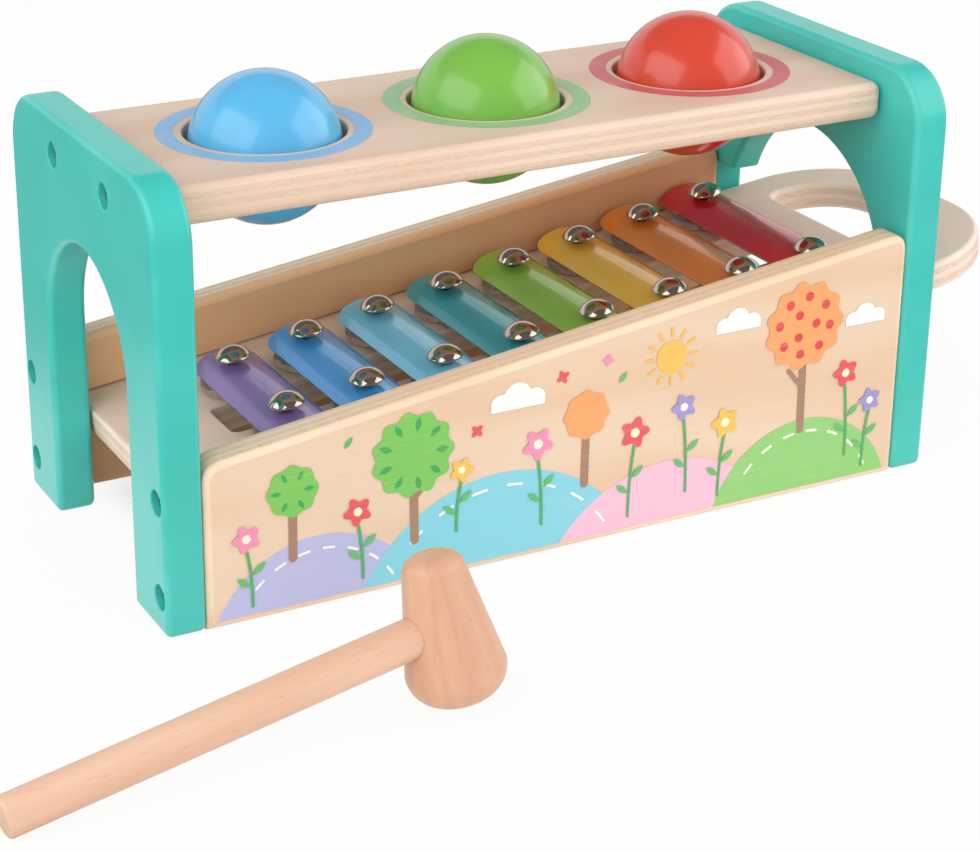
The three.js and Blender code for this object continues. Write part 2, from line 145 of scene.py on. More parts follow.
def turned(profile, facets):
    """A turned shape about the Z axis, from points of radius and height that go up its outside."""
    shape = bmesh.new()
    rings = []
    for radius, height in profile:
        if rings and (radius, height) == profile[0]:
            rings.append(rings[0])
            continue
        turns = [2 * math.pi * k / facets for k in range(facets if radius else 1)]
        ring = [shape.verts.new((radius * math.cos(t), radius * math.sin(t), height)) for t in turns]
        rings.append(ring * (facets // len(ring)))
    for low, high in zip(rings, rings[1:]):
        for k in range(facets):
            corners = dict.fromkeys((low[k - 1], low[k], high[k], high[k - 1]))
            shape.faces.new(corners)
    return shape


def piece(name, shape, place=Matrix()):
    """An object from a shape, with its vertices put in place."""
    shape.transform(place)
    made = bpy.data.objects.new(name, bpy.data.meshes.new(name))
    shape.to_mesh(made.data)
    shape.free()
    scene.collection.objects.link(made)
    return made


def settle(made):
    """Makes a plain mesh of what a piece's modifiers give."""
    graph = bpy.context.evaluated_depsgraph_get()
    made.data = bpy.data.meshes.new_from_object(
        made.evaluated_get(graph), preserve_all_data_layers=True, depsgraph=graph
    )
    made.modifiers.clear()


def carve(made, cutters):
    """Cuts the cutters out of a piece."""
    for cutter in cutters:
        cut = made.modifiers.new("cut", "BOOLEAN")
        cut.object = cutter
    settle(made)
    for cutter in cutters:
        bpy.data.objects.remove(cutter)


def dress(made, finish, sharp=35):
    """Gives a piece its finish, with its roundings shaded smooth and its flats kept flat."""
    made.data.materials.clear()
    made.data.materials.append(finish)
    made.data.shade_smooth()
    made.data.set_sharp_from_angle(angle=math.radians(sharp))
    made.modifiers.new("flats", "WEIGHTED_NORMAL").keep_sharp = True


class Wire:
    """A socket in a node tree: sums on it add Math nodes, and node() adds a node of any other kind."""

    def __init__(self, socket):
        self.socket = socket

    def node(self, kind, settings=None, sockets=None, output=0):
        tree = self.socket.id_data
        made = tree.nodes.new(kind)
        for name, value in (settings or {}).items():
            setattr(made, name, value)
        for key, value in (sockets or {}).items():
            if isinstance(value, Wire):
                tree.links.new(value.socket, made.inputs[key])
            else:
                made.inputs[key].default_value = value
        return Wire(made.outputs[output])

    def maths(self, operation, *values):
        return self.node("ShaderNodeMath", {"operation": operation}, dict(enumerate((self, *values))))

    def __add__(self, other):
        return self.maths("ADD", other)

    def __sub__(self, other):
        return self.maths("SUBTRACT", other)

    def __rsub__(self, other):
        return self * -1 + other

    def __mul__(self, other):
        return self.maths("MULTIPLY", other)

    def __truediv__(self, other):
        return self.maths("DIVIDE", other)

    __radd__ = __add__
    __rmul__ = __mul__

    def ramp(self, low, high):
        """0 at low and 1 at high, with a soft start and end."""
        ends = {"Value": self, "From Min": low, "From Max": high}
        return self.node("ShaderNodeMapRange", {"interpolation_type": "SMOOTHSTEP"}, ends)

    def tint(self, under, over):
        """A colour that goes from under to over as this goes from 0 to 1."""
        return self.node("ShaderNodeMix", {"data_type": "RGBA"}, {0: self, 6: under, 7: over}, 2)

    def noise(self, stretch, detail=2, offset=(0, 0, 0)):
        """A noise from 0 to 1, with that many waves to the millimetre along each axis."""
        spot = self.node("ShaderNodeMapping", {}, {"Vector": self, "Scale": stretch, "Location": offset})
        return self.node("ShaderNodeTexNoise", {}, {"Vector": spot, "Scale": 1.0, "Detail": detail})

    def bump(self, height):
        """A normal for a surface that this raises by that many millimetres."""
        return self.node("ShaderNodeBump", {}, {"Strength": 1.0, "Distance": height / 1000, "Height": self})


def colour(code):
    """The linear colour of a six-digit code."""
    parts = [int(code[i : i + 2], 16) / 255 for i in (0, 2, 4)]
    return (*(c / 12.92 if c < 0.04045 else ((c + 0.055) / 1.055) ** 2.4 for c in parts), 1)


def new_finish(name, place=Matrix()):
    """A material and its spot on the piece in millimetres, as the piece was drawn before its place."""
    material = bpy.data.materials.new(name)
    material.use_nodes = True
    back = place.inverted()
    seen = Wire(material.node_tree.nodes.new("ShaderNodeTexCoord").outputs["Object"])
    return material, seen.node(
        "ShaderNodeMapping",
        {},
        {
            "Vector": seen,
            "Scale": (1000, 1000, 1000),
            "Rotation": back.to_euler(),
            "Location": back @ (bench_middle * -1000),
        },
    )


def lay_on(material, **sockets):
    """Sets or links the sockets of a material's shader."""
    shader = material.node_tree.nodes["Principled BSDF"]
    for name, value in sockets.items():
        socket = shader.inputs[name.replace("_", " ").title().replace("Ior", "IOR")]
        if isinstance(value, Wire):
            material.node_tree.links.new(value.socket, socket)
        else:
            socket.default_value = value


teal_paint, spot = new_finish("teal_paint")
mottle = spot.noise((0.03, 0.03, 0.03), 3)
peel = spot.noise((0.3, 0.3, 0.3), 2)
rim = spot.node("ShaderNodeAttribute", {"attribute_name": "rim"}, {}, "Fac")
coats = mottle.ramp(0.3, 0.7).tint(colour("38beb2"), colour("41c4b9"))
# The roundings take a lighter teal in patches: a painted highlight along the routed edges.
lay_on(
    teal_paint,
    base_color=(rim * mottle.ramp(0.35, 0.75) * 0.3).tint(coats, colour("7ad3c8")),
    roughness=0.26 + 0.06 * peel,
    coat_weight=0.2,
    coat_roughness=0.18,
    normal=peel.bump(0.012),
)

to_end = Matrix(((0, 0, 1, 0), (1, 0, 0, 0), (0, 1, 0, 0), (0, 0, 0, 1)))
inwards = {"left": Matrix.Rotation(math.pi / 2, 4, "Y"), "right": Matrix.Rotation(-math.pi / 2, 4, "Y")}
end_x = {"left": -bench_inside / 2 - frame_thickness, "right": bench_inside / 2 + frame_thickness}
start_x = {"left": end_x["left"], "right": bench_inside / 2}
left_gap = half_depth - left_leg
right_gap = half_depth - right_leg
right_arch = right_arch_top - right_gap
step_angle = math.degrees(math.asin((slot_high - right_arch) / right_gap))
openings = {
    "left": arc(0, left_arch_top - left_gap, left_gap, 180, 0, 48),
    "right": [
        (-right_gap, slot_low),
        (-slot_half, slot_low),
        (-slot_half, slot_high),
        *arc(0, right_arch, right_gap, 180 - step_angle, step_angle, 40),
        (slot_half, slot_high),
        (slot_half, slot_low),
        (right_gap, slot_low),
    ],
}
gaps = {"left": left_gap, "right": right_gap}
counterbore_mouth = counterbore_radius + counterbore_lip
counterbore = [
    (0, -cut_past),
    (counterbore_mouth, -cut_past),
    *arc(counterbore_mouth, counterbore_lip, counterbore_lip, 270, 180, 4),
    (counterbore_radius, counterbore_depth),
    (0, counterbore_depth),
]
for end in ("left", "right"):
    foot, gap = foot_corner, gaps[end]
    outline = [
        *arc(half_depth - foot, foot, foot, -90, 0, 5),
        *arc(half_depth - frame_corner, frame_height - frame_corner, frame_corner, 0, 90, 16),
        *arc(frame_corner - half_depth, frame_height - frame_corner, frame_corner, 90, 180, 16),
        *arc(foot - half_depth, foot, foot, 180, 270, 5),
        *arc(-gap - foot, foot, foot, 270, 360, 5),
        *openings[end],
        *arc(gap + foot, foot, foot, 180, 270, 5),
    ]
    end_frame = piece(
        f"end_frame_{end}",
        plate([(outline, frame_edge)], frame_thickness),
        set_down @ Matrix.Translation((start_x[end], 0, 0)) @ to_end,
    )
    bore_places = [Matrix.Translation((end_x[end], y, z)) @ inwards[end] for y, z in screw_places]
    bores = [piece("bore", turned(counterbore, 32), set_down @ place) for place in bore_places]
    carve(end_frame, bores)
    dress(end_frame, teal_paint)
    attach(end_frame, "bench")
    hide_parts(f"frame_{end}")


# Frame screws: zinc-plated pan heads with a cross recess, six driven into the counterbores of each
# end frame. They hold the top board and the two panels between the frames.
pan_radius, pan_height, pan_round = 3.3, 2, 1.2
shank_radius, shank_length, shank_point = 1.5, 22, 4
pan_seat = 3.7
recess_reach, recess_half, recess_depth = 1.9, 0.4, 1.3
bench_screws = {
    "left": ["board_front", "board_rear", "front_low", "front_high", "rear_low", "rear_high"],
    "right": [],
}
screw_seeds = {"left": 9, "right": 3}
full_turn = 6.28


def new_rule(name, kinds):
    """A Geometry Nodes tree and wires from its named inputs."""
    tree = bpy.data.node_groups.new(name, "GeometryNodeTree")
    tree.interface.new_socket("Geometry", in_out="OUTPUT", socket_type="NodeSocketGeometry")
    for label, kind in {"Geometry": "Geometry", **kinds, "Finish": "Material"}.items():
        tree.interface.new_socket(label, in_out="INPUT", socket_type="NodeSocket" + kind)
    source = tree.nodes.new("NodeGroupInput")
    return tree, {socket.name: Wire(socket) for socket in source.outputs if socket.name}


def end_rule(knob, made):
    """Ends a tree with real faces in place of copies, and with the finish."""
    faces = made.node("GeometryNodeRealizeInstances", {}, {0: made})
    dressed = faces.node("GeometryNodeSetMaterial", {}, {"Geometry": faces, "Material": knob["Finish"]})
    tree = dressed.socket.id_data
    tree.links.new(dressed.socket, tree.nodes.new("NodeGroupOutput").inputs[0])


def run_rule(made, tree, values):
    """Gives a piece the plain mesh that a tree makes of it with those values."""
    rule = made.modifiers.new("rule", "NODES")
    rule.node_group = tree
    for item in tree.interface.items_tree:
        if item.in_out == "INPUT" and item.name in values:
            rule[item.identifier] = values[item.name]
    settle(made)


set_out, knob = new_rule("set_out", {"Piece": "Object", "Turn": "Rotation", "Seed": "Int"})
copy = knob["Piece"].node("GeometryNodeObjectInfo", {}, {"Object": knob["Piece"]}, "Geometry")
draw = {2: 0.0, 3: full_turn, "Seed": knob["Seed"]}
chance = copy.node("FunctionNodeRandomValue", {"data_type": "FLOAT"}, draw, 1)
spin = copy.node("FunctionNodeAxisAngleToRotation", {}, {"Axis": (0, 0, 1), "Angle": chance})
turn = copy.node("FunctionNodeRotateRotation", {"rotation_space": "LOCAL"}, {0: knob["Turn"], 1: spin})
copies = copy.node(
    "GeometryNodeInstanceOnPoints", {}, {"Points": knob["Geometry"], "Instance": copy, "Rotation": turn}
)
end_rule(knob, copies)

zinc, spot = new_finish("zinc")
lay_on(
    zinc,
    base_color=spot.noise((1.1, 1.1, 1.1), 2).ramp(0.3, 0.7).tint(colour("a9acae"), colour("c4c6c7")),
    metallic=1.0,
    roughness=0.28,
)
pan_head = piece(
    "pan_head",
    turned(
        [
            (0, -pan_height),
            *arc(pan_radius - pan_round, pan_round - pan_height, pan_round, 270, 360, 5),
            (pan_radius, 0),
            (shank_radius, 0),
            (shank_radius, shank_length - shank_point),
            (0, shank_length),
        ],
        24,
    ),
)
cross = []
for quarter in range(4):
    swing = Matrix.Rotation(quarter * math.pi / 2, 2)
    tip = ((recess_half, -recess_half), (recess_reach, -recess_half), (recess_reach, recess_half))
    cross += [swing @ Vector(p) for p in tip]
recess = plate([(cross, 0)], recess_depth + cut_past)
carve(pan_head, [piece("recess", recess, Matrix.Translation((0, 0, -pan_height - cut_past)))])
for end, names in bench_screws.items():
    seat = end_x[end] + math.copysign(pan_seat, -end_x[end])
    screws = piece(f"frame_screws_{end}", bmesh.new())
    screws.data.from_pydata([(seat, y, z) for y, z in screw_places], [], [])
    turn, seed = inwards[end].to_euler(), screw_seeds[end]
    run_rule(screws, set_out, {"Piece": pan_head, "Turn": turn, "Seed": seed, "Finish": zinc})
    screws.data.transform(set_down)
    dress(screws, zinc)
    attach(screws, "bench")
    if names:
        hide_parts(*(f"frame_screw_{name}" for name in names))
bpy.data.objects.remove(pan_head)


# Top board: plywood with its edges rounded, screwed between the frames. Each of its three holes has
# a rounded rim and a groove inside for the ring that grips the ball.
board_depth, board_thickness = 80.8, 11.2
board_top, board_edge, board_corner = 123.4, 3, 4
hole_pitch, hole_radius, hole_rim, hole_foot = 71.7, 23.7, 0.7, 0.7
grip_drop, grip_groove, grip_groove_radius = 6.5, 1.6, 25.55
ball_names = ("blue", "green", "red")
hole_x = {"blue": -hole_pitch, "green": 0, "red": hole_pitch}


def plywood(name, place, thickness, pale, deep, plies=7, offset=0, top=None):
    """A plywood finish for a plate with its grain along X and its plies stacked along Z. The sheet on top
    can have a pale and a deep colour of its own, which paint shade on that face."""
    material, spot = new_finish(name, place)
    shift = (offset, offset * 0.7, 0)
    depth = spot.node("ShaderNodeSeparateXYZ", {}, {0: spot}, "Z")
    layer = depth * (0.998 * plies / thickness) + 0.001 * plies
    across = layer.maths("MODULO", 2).maths("GREATER_THAN", 1)
    glue = layer.maths("PINGPONG", 0.5).ramp(0.06, 0.0)
    fibres = spot.noise((0.02, 1.1, 1.1), 3, shift)
    pores = spot.noise((0.5, 0.9, 1.6), 2, shift)
    growth = spot.noise((0.004, 0.022, 0.022), 2, shift)
    figure = (growth * 7).maths("PINGPONG", 1).ramp(0.1, 1.0)
    flecks = spot.noise((0.09, 1.6, 1.6), 1, shift).ramp(0.68, 0.8)
    grain = figure * 0.65 + fibres * 0.4 - 0.05
    long_grain = grain.tint(colour(pale), colour(deep))
    if top:
        # The top sheet's own colours are painted shade on that face.
        painted_shade_sheet = depth.ramp(thickness * 0.6, thickness * 0.8)
        long_grain = painted_shade_sheet.tint(long_grain, grain.tint(*map(colour, top)))
    end_grain = pores.ramp(0.3, 0.75).tint(colour(deep), colour("d3b394"))
    wood = (across * 0.6).tint(long_grain, end_grain)
    wood = (flecks * 0.14 + glue * 0.22).tint(wood, colour("a77f5c"))
    lay_on(
        material,
        base_color=wood,
        roughness=0.42 + 0.12 * fibres,
        coat_weight=0.12,
        coat_roughness=0.3,
        normal=(fibres - flecks * 0.5 - glue * 0.5).bump(0.012),
    )
    return material


board_place = Matrix.Translation((0, 0, board_top - board_thickness))
board_ply = plywood("board_ply", board_place, board_thickness, "ecd4c0", "e2c2aa")
board_x, board_y = bench_inside / 2 - board_corner, board_depth / 2 - board_corner
board_outline = [
    *arc(board_x, -board_y, board_corner, -90, 0, 6),
    *arc(board_x, board_y, board_corner, 0, 90, 6),
    *arc(-board_x, board_y, board_corner, 90, 180, 6),
    *arc(-board_x, -board_y, board_corner, 180, 270, 6),
]
hole_profile = [
    (0, -board_thickness - cut_past),
    (hole_radius + hole_foot, -board_thickness - cut_past),
    *arc(hole_radius + hole_foot, hole_foot - board_thickness, hole_foot, 270, 180, 5),
    (hole_radius, -grip_drop - grip_groove),
    (grip_groove_radius, -grip_drop - grip_groove),
    (grip_groove_radius, grip_groove - grip_drop),
    (hole_radius, grip_groove - grip_drop),
    *arc(hole_radius + hole_rim, -hole_rim, hole_rim, 180, 90, 6),
    (hole_radius + hole_rim, cut_past),
    (0, cut_past),
]
top_board = piece(
    "top_board", plate([(board_outline, board_edge)], board_thickness), set_down @ board_place
)
holes = [
    piece("hole", turned(hole_profile, 96), set_down @ Matrix.Translation((x, 0, board_top)))
    for x in hole_x.values()
]
carve(top_board, holes)
dress(top_board, board_ply)
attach(top_board, "bench")
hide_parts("top_board")


# Painted rings: a thin band of stain in its ball's colour round each hole, printed on the board
# a little out of true, with the grain showing through.
band_inside, band_outside, band_film = 25.9, 31.2, 0.03
bands = {"blue": ("80b3dc", -0.3), "green": ("8fbf8b", 0.2), "red": ("cd6068", 0.3)}
for name, (code, slip) in bands.items():
    stain, spot = new_finish(f"{name}_stain")
    grain = spot.noise((0.03, 1.1, 1.1), 3)
    patchy = spot.noise((0.05, 0.08, 0.05), 2)
    worn = grain.ramp(0.5, 0.85) * 0.3 + patchy.ramp(0.5, 0.8) * 0.15
    lay_on(
        stain, base_color=worn.tint(colour(code), colour("dcc3ae")), roughness=0.4, normal=grain.bump(0.015)
    )
    outer, inner = arc(0, 0, band_outside, 0, 360, 128)[:-1], arc(0, 0, band_inside, 360, 0, 128)[:-1]
    band = piece(
        f"painted_ring_{name}",
        plate([(outer, 0), (inner, 0)], band_film),
        set_down @ Matrix.Translation((hole_x[name] + slip, 0, board_top + band_film)),
    )
    dress(band, stain)
    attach(band, "bench")


# Balls and grip rings: turned wooden balls under a thick bright lacquer, each pressed through a pale
# rubber ring that sits in the groove of its hole and holds it until it is struck.
ball_radius, ball_flat, ball_tilt = 22.5, 1.6, 1.5
ball_sink = {"blue": 5.2, "green": 3.4, "red": 4.5}
ball_lacquer = {"blue": "56b7e8", "green": "78bb45", "red": "d93f27"}
grip_radius, grip_section = 23.95, 1.3
rubber, spot = new_finish("rubber")
lay_on(
    rubber,
    base_color=spot.noise((0.4, 0.4, 0.4)).tint(colour("cfcac1"), colour("dfdbd4")),
    roughness=0.65,
)
flat_angle = math.degrees(math.acos(ball_flat / ball_radius))
flat_height = ball_radius * math.sin(math.radians(flat_angle))
ball_profile = [
    (0, -flat_height),
    *arc(0, 0, ball_radius, -flat_angle, flat_angle, 56),
    (0, flat_height),
]
grip_profile = arc(grip_radius, 0, grip_section, 0, 360, 16)[:-1]
grip_profile.append(grip_profile[0])
for name in ball_names:
    grip_ring = piece(
        f"grip_ring_{name}",
        turned(grip_profile, 96),
        set_down @ Matrix.Translation((hole_x[name], 0, board_top - grip_drop)),
    )
    dress(grip_ring, rubber)
    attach(grip_ring, "bench")
    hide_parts(f"grip_ring_{name}")

    lacquer, spot = new_finish(f"{name}_lacquer")
    flow = spot.noise((0.09, 0.09, 0.09), 2)
    grain = spot.noise((0.05, 0.8, 0.8), 3)
    thin = flow.ramp(0.3, 0.7) * 0.07 + grain.ramp(0.45, 0.8) * 0.06
    lay_on(
        lacquer,
        base_color=thin.tint(colour(ball_lacquer[name]), colour("6b5c4a")),
        roughness=0.27 + 0.06 * flow,
        coat_weight=0.7,
        coat_roughness=0.14,
        normal=flow.bump(0.015),
    )
    ball_place = Matrix.Translation((hole_x[name], 0, board_top - ball_sink[name]))
    ball = piece(
        f"ball_{name}",
        turned(ball_profile, 112),
        set_down @ ball_place @ Matrix.Rotation(ball_tilt, 4, "Y"),
    )
    dress(ball, lacquer)
    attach(ball, f"ball_{name}")
    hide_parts(f"ball_{name}")


# Front and rear panels: plywood boards whose top edges rise to the right. A groove along the inner face of
# each carries the tray, and the rear one's inner face is painted a deeper, redder wood: painted shade under
# the board.
panel_thickness, panel_edge, panel_corner = 11, 2.2, 6
panel_low, panel_slope = 49.8, 0.13041
groove_depth, groove_top, groove_foot = 3, 0.5, -9.8
panel_wood = ("f9e2c8", "f2cdaa")
# The rear panel's inner face takes deeper, redder colours: painted shade under the board.
inner_face_shade = {"front": None, "rear": ("fdcb9b", "f4b07c")}
panel_offset = {"front": 40, "rear": 170}
tray_height = 46.945
incline = math.atan(panel_slope)
on_slope = Matrix.Translation((0, 0, tray_height)) @ Matrix.Rotation(-incline, 4, "Y")
upright = Matrix.Rotation(math.pi / 2, 4, "X")


def panel_top(x):
    """The height of a panel's top edge at x."""
    return panel_low + panel_slope * (x + bench_inside / 2)


def bend(start, corner, end, steps):
    """Points on a rounded corner between two points."""
    start, corner, end = Vector(start), Vector(corner), Vector(end)
    parts = [i / steps for i in range(steps + 1)]
    return [start * (1 - t) ** 2 + corner * 2 * t * (1 - t) + end * t**2 for t in parts]


side = bench_inside / 2
rise = panel_slope * panel_corner
panel_outline = [
    (-side, 0),
    (side, 0),
    *bend(
        (side, panel_top(side) - panel_corner),
        (side, panel_top(side)),
        (side - panel_corner, panel_top(side) - rise),
        8,
    ),
    *bend(
        (panel_corner - side, panel_top(-side) + rise),
        (-side, panel_top(-side)),
        (-side, panel_top(-side) - panel_corner),
        8,
    ),
]
panel_start = {"front": panel_thickness - half_depth, "rear": half_depth}
panel_inner = {"front": panel_thickness - half_depth, "rear": half_depth - panel_thickness}
for row in ("front", "rear"):
    panel_place = Matrix.Translation((0, panel_start[row], 0)) @ upright
    panel_ply = plywood(
        f"{row}_panel_ply",
        panel_place,
        panel_thickness,
        *panel_wood,
        offset=panel_offset[row],
        top=inner_face_shade[row],
    )
    panel = piece(
        f"{row}_panel", plate([(panel_outline, panel_edge)], panel_thickness), set_down @ panel_place
    )
    groove = bmesh.new()
    bmesh.ops.create_cube(groove)
    groove.transform(
        Matrix.Translation((0, panel_inner[row], (groove_top + groove_foot) / 2))
        @ Matrix.Diagonal((2 * bench_inside, 2 * groove_depth, groove_top - groove_foot, 1))
    )
    carve(panel, [piece("groove", groove, set_down @ on_slope)])
    dress(panel, panel_ply)
    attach(panel, "bench")
    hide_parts(f"{row}_panel")


# Meadow print: flat inks on the front panel, of hills, trees, flowers, clouds and a sun. Each
# colour is a film of its own, laid over the last, and the wood shows as the sky.
ink_film, ink_step = 0.02, 0.03
print_foot = 2.3
front_face = Matrix.Translation((-side, -half_depth, 0)) @ upright


def ink(name, code, order, outlines):
    """A film of one ink over closed outlines that keep clear of each other."""
    paste, spot = new_finish(f"{name}_ink", front_face)
    grain = spot.noise((0.02, 1.1, 1.1), 3)
    worn = grain.ramp(0.45, 0.9) * 0.22
    lay_on(
        paste, base_color=worn.tint(colour(code), colour("f0d2b4")), roughness=0.45, normal=grain.bump(0.01)
    )
    film = piece(
        f"print_{name}",
        plate([(outline, 0) for outline in outlines], ink_film),
        set_down @ front_face @ Matrix.Translation((0, 0, order * ink_step)),
    )
    dress(film, paste)
    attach(film, "bench")


def mound(middle, reach, height):
    """A hill that stands on the foot of the print."""
    radius = (reach**2 + height**2) / (2 * height)
    half = math.degrees(math.asin(reach / radius))
    return arc(middle, print_foot + height - radius, radius, 90 - half, 90 + half, 40)


def rosette(x, y, radius, lobes, wave, turn=0):
    """A round outline with lobes, as a flower or a leafy crown has."""
    turns = [2 * math.pi * i / (16 * lobes) for i in range(16 * lobes)]
    reach = [radius * (1 + wave * math.cos(lobes * t)) for t in turns]
    return [(x + r * math.cos(t + turn), y + r * math.sin(t + turn)) for r, t in zip(reach, turns)]


def spread(x, y, radius, count, start=0):
    """Points spread round a circle, each with its angle."""
    turns = [2 * math.pi * i / count + start for i in range(count)]
    return [(x + radius * math.cos(t), y + radius * math.sin(t), t) for t in turns]


def stroke(points, width):
    """A line of that width with round ends."""
    line = [Vector(p) for p in points]
    left, right = [], []
    for before, here, after in zip(line[:1] + line, line, line[1:] + line[-1:]):
        across = (after - before).normalized().orthogonal() * width / 2
        left.append(here + across)
        right.append(here - across)
    first, last = (line[0] - line[1]).normalized(), (line[-1] - line[-2]).normalized()
    caps = []
    for tip, out in ((line[-1], last), (line[0], first)):
        angle = math.degrees(math.atan2(out.y, out.x))
        caps.append([Vector(p) for p in arc(*tip, width / 2, angle - 90, angle + 90, 8)][1:-1])
    return right + caps[0] + left[::-1] + caps[1]


def leaf(x, y, length, width, angle):
    """A pointed leaf that starts at a point."""
    turns = [i / 12 for i in range(13)]
    upper = [(length * t, width / 2 * math.sin(math.pi * t)) for t in turns]
    lower = [(length * t, -width / 2 * math.sin(math.pi * t)) for t in turns]
    swing = Matrix.Rotation(math.radians(angle), 2)
    return [Vector((x, y)) + swing @ Vector(p) for p in lower[:-1] + upper[:0:-1]]


def cloud(x, y, size):
    """A cloud: the upper edge of three puffs over a flat foot."""
    puffs = ((-1.25, 0, 0.75), (0, 0.35, 1.05), (1.3, 0, 0.8))
    edge = []
    for i in range(61):
        u = 0.05 - 2.02 * math.cos(math.pi * i / 60)
        tops = [v + math.sqrt(r**2 - (u - c) ** 2) for c, v, r in puffs if abs(u - c) < r]
        edge.append((u, max([-0.35, *tops])))
    return [(x + size * u, y + size * v) for u, v in [(2.05, -0.45), *edge[::-1], (-1.95, -0.45)]]


hills = {
    "lilac": ("b9bde4", 34, 31, 20),
    "aqua": ("86d3e3", 92, 44, 27),
    "pink": ("f6c0d6", 149, 37, 19),
    "grass": ("93cf78", 198, 32, 23),
}
for order, (name, (code, *hill)) in enumerate(hills.items(), 1):
    ink(name, code, order, [mound(*hill)])

stitch_inset, stitch_drop, stitch_width = 6.5, 4.2, 0.8
stitches = []
for name in ("lilac", "aqua", "grass"):
    middle, reach, height = hills[name][1:]
    seam = mound(middle, reach - stitch_inset, height - stitch_drop)
    stitches += [stroke(seam[i : i + 3], stitch_width) for i in range(2, len(seam) - 4, 5)]
ink("stitches", "fbf9f4", 5, stitches)

bark, trunk_width, twig_width = "a9806a", 2.6, 1.5
trunks = [
    [(26, 17), (26.2, 33)],
    [(64, 14), (63.6, 36)],
    [(120, 20), (120.2, 37)],
    [(197, 22), (196.6, 48)],
]
twigs = [[(64, 27), (68.5, 32.5)], [(196.8, 36), (191.5, 42.5)]]
big_spring, small_spring = (63.5, 41), (26.2, 37.5)
big_autumn, small_autumn = (196.5, 56.5), (120.2, 42)
spring_crowns = [rosette(*big_spring, 12.5, 11, 0.06), rosette(*small_spring, 7.6, 8, 0.05)]
autumn_crowns = [rosette(*big_autumn, 13.6, 11, 0.06), rosette(*small_autumn, 7.4, 8, 0.05)]
shade_leaves = [leaf(x, y, 4.4, 1.9, math.degrees(t)) for x, y, t in spread(*big_spring, 7, 9)]
shade_leaves += [leaf(x, y, 3.2, 1.4, math.degrees(t)) for x, y, t in spread(*small_spring, 3.4, 6)]
fruit = []
for reach, count in ((4.2, 3), (9.3, 8)):
    fruit += [rosette(x, y, 1.5, 5, 0.02) for x, y, t in spread(*big_autumn, reach, count, reach)]
ink("trunks", bark, 6, [stroke(trunk, trunk_width) for trunk in trunks])
ink("twigs", bark, 7, [stroke(twig, twig_width) for twig in twigs])
ink("spring_crowns", "7cc85c", 8, spring_crowns)
ink("autumn_crowns", "f2a566", 8, autumn_crowns)
ink("crown_shade", "3fa85a", 9, shade_leaves)
ink("fruit", "e0474b", 9, fruit)

flowers = [
    (46, 6, 27, 3.7, "red"),
    (79, 14, 33, 3.2, "yellow"),
    (104, 10, 36, 4.2, "pink"),
    (137, 6, 33, 4.2, "red"),
    (154, 10, 38, 3.6, "violet"),
    (169, 6, 30, 4, "yellow"),
    (213, 10, 38, 3.8, "red"),
    (223, 5, 27, 3.4, "violet"),
    (12, 5, 26, 3.6, "pink"),
]
stem_lean, stem_width = 1.6, 0.9
blade_start, blade_length, blade_width, blade_green = 0.7, 5.2, 2, "63bd6c"
stems, blades = [], []
for i, (u, low, high, size, shade) in enumerate(flowers):
    lean = stem_lean if i % 2 else -stem_lean
    spine = bend((u - lean, low), (u - lean, (low + high) / 2), (u, high - size), 10)
    stems.append(stroke(spine, stem_width))
    for t, angle in ((3, 140), (5, 40)):
        x, y = spine[t]
        x += blade_start * math.cos(math.radians(angle))
        blades.append(leaf(x, y, blade_length, blade_width, angle))
ink("stems", "4fae63", 10, stems)
ink("blades", blade_green, 11, blades)
shades = {"red": "e8575c", "yellow": "f5c453", "pink": "f391b6", "violet": "9d94d6"}
for shade, code in shades.items():
    petals = [rosette(u, v, r, 5, 0.22, u) for u, low, v, r, own in flowers if own == shade]
    ink(f"{shade}_petals", code, 12, petals)
ink("hearts", "fff3d6", 13, [rosette(u, v, r * 0.36, 5, 0.03) for u, low, v, r, own in flowers])

sun_place, ray_count = (149, 55), 12
ray_feet, ray_tips = (spread(*sun_place, reach, ray_count) for reach in (6.7, 8.9))
rays = [stroke([foot[:2], tip[:2]], 1) for foot, tip in zip(ray_feet, ray_tips)]
ink("sun", "f7c15a", 6, [rosette(*sun_place, 5.2, 6, 0), *rays])
ink("clouds", "fdfaf4", 6, [cloud(97, 50.5, 4.4), cloud(172, 61, 3.9), cloud(219, 55, 3.6)])
ink("drifting_red", shades["red"], 6, [rosette(u, v, 1.7, 4, 0.3, u) for u, v in ((84, 44), (112, 55.5))])
ink("drifting_leaf", blade_green, 6, [leaf(u, v, 4.2, 1.8, 50) for u, v in ((131, 50), (42, 47))])
ink("drifting_pink", shades["pink"], 6, [rosette(127, 58, 1.5, 4, 0.3, 127)])


# Tray: one plywood board that slides in the panels' grooves, with a window under the bars that lets
# them sound and a rounded handle cut out at its right end.
tray_thickness, tray_edge = 9.3, 1.8
tray_half, tray_left, tray_right = 49.1, -117.587, 171.813
handle_corner = 36
window_left, window_right = -88.637, 116.313
left_half, right_half, window_corner, window_edge = 10, 13, 3, 0.6
grasp_left, grasp_right, grasp_half = 129.813, 156.813, 34.1
grasp_tight, grasp_wide = 5, 21
pilot_radius, pilot_depth, pilot_top = 1.95, 12, 2
first_bar, bar_pitch, bar_count = -74.887, 25.35, 8
short_span, long_span = 40, 61


def rows_of(name, template, height, finish):
    """Copies of a template in the two rows of the bar screws, at that height over the tray's top."""
    made = piece(name, bmesh.new())
    run_rule(
        made,
        two_rows,
        {
            "Piece": template,
            "First": first_bar,
            "Pitch": bar_pitch,
            "Count": bar_count,
            "Short Span": short_span,
            "Long Span": long_span,
            "Height": height,
            "Finish": finish,
        },
    )
    made.data.transform(set_down @ on_slope)
    bpy.data.objects.remove(template)
    return made


